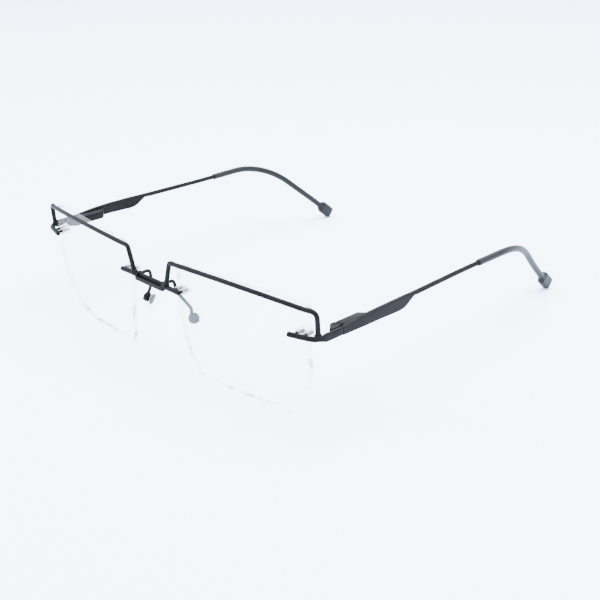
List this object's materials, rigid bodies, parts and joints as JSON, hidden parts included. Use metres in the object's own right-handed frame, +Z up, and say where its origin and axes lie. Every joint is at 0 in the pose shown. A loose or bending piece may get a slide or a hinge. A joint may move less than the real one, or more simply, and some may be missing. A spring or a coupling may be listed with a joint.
{
  "type": "rimless eyeglasses",
  "caption": "Rimless eyeglasses: drilled clear lenses on a dark metal bridge with brow wires, adjustable nose pads and sprung folding temples.",
  "frame": {"origin": "centre of the footprint, on the surface that the lower lens edges and the temple tips stand on", "axes": "+X towards the wearer's left, +Y back along the open temples, +Z up"},
  "size_m": [0.1398, 0.1498, 0.0405],
  "materials": {
    "metal": "matte black coated metal",
    "steel": "bright steel",
    "lens": "clear lens with a faint anti-reflection tint",
    "clear_plastic": "clear moulded plastic",
    "silicone": "clear soft silicone",
    "sleeve": "matte dark grey plastic"
  },
  "bodies": {
    "front": {"bridge": "metal", "lens_left": "lens", "lens_right": "lens", "brow_wire_left": "metal", "brow_wire_right": "metal", "end_piece_left": "metal", "end_piece_right": "metal", "hinge_fork_left": "metal", "hinge_fork_right": "metal", "hinge_screw_left": "steel", "hinge_screw_right": "steel", "pad_arm_left": "metal", "pad_arm_right": "metal", "pad_box_left": "metal", "pad_box_right": "metal", "pad_screw_left": "steel", "pad_screw_right": "steel", "bushing_notch_left": "clear_plastic", "bushing_notch_right": "clear_plastic", "bushing_nasal_left": "clear_plastic", "bushing_nasal_right": "clear_plastic", "bushing_outer_left": "clear_plastic", "bushing_outer_right": "clear_plastic", "bushing_tip_left": "clear_plastic", "bushing_tip_right": "clear_plastic"},
    "slider_left": {"hinge_slider_left": "steel"},
    "slider_right": {"hinge_slider_right": "steel"},
    "temple_left": {"temple_left": "metal", "temple_tip_left": "sleeve", "spring_housing_left": "metal", "spring_collar_left": "steel", "hinge_spring_left": "steel"},
    "temple_right": {"temple_right": "metal", "temple_tip_right": "sleeve", "spring_housing_right": "metal", "spring_collar_right": "steel", "hinge_spring_right": "steel"},
    "pad_left": {"pad_insert_left": "metal", "nose_pad_left": "silicone"},
    "pad_right": {"pad_insert_right": "metal", "nose_pad_right": "silicone"}
  },
  "joints": [
    {"name": "temple_fold_left", "type": "hinge", "parent": "front", "child": "slider_left", "pos_m": [0.0668, -0.05629, 0.02885], "axis": [0, 0, 1], "range_deg": [0, 88]},
    {"name": "temple_spring_left", "type": "slide", "parent": "slider_left", "child": "temple_left", "axis": [0, 1, 0], "range_m": [0, 0.0012], "stiffness_N_per_m": 200, "springref_m": -0.001, "deforming": ["hinge_spring_left"]},
    {"name": "pad_rock_left", "type": "hinge", "parent": "front", "child": "pad_left", "pos_m": [0.0125, -0.06589, 0.01735], "axis": [-0.4648, -0.8854, 0], "range_deg": [-8, 8]},
    {"name": "temple_fold_right", "type": "hinge", "parent": "front", "child": "slider_right", "pos_m": [-0.0668, -0.05629, 0.02885], "axis": [0, 0, -1], "range_deg": [0, 83]},
    {"name": "temple_spring_right", "type": "slide", "parent": "slider_right", "child": "temple_right", "axis": [0, 1, 0], "range_m": [0, 0.0012], "stiffness_N_per_m": 200, "springref_m": -0.001, "deforming": ["hinge_spring_right"]},
    {"name": "pad_rock_right", "type": "hinge", "parent": "front", "child": "pad_right", "pos_m": [-0.0125, -0.06589, 0.01735], "axis": [0.4648, -0.8854, 0], "range_deg": [-8, 8]}
  ]
}
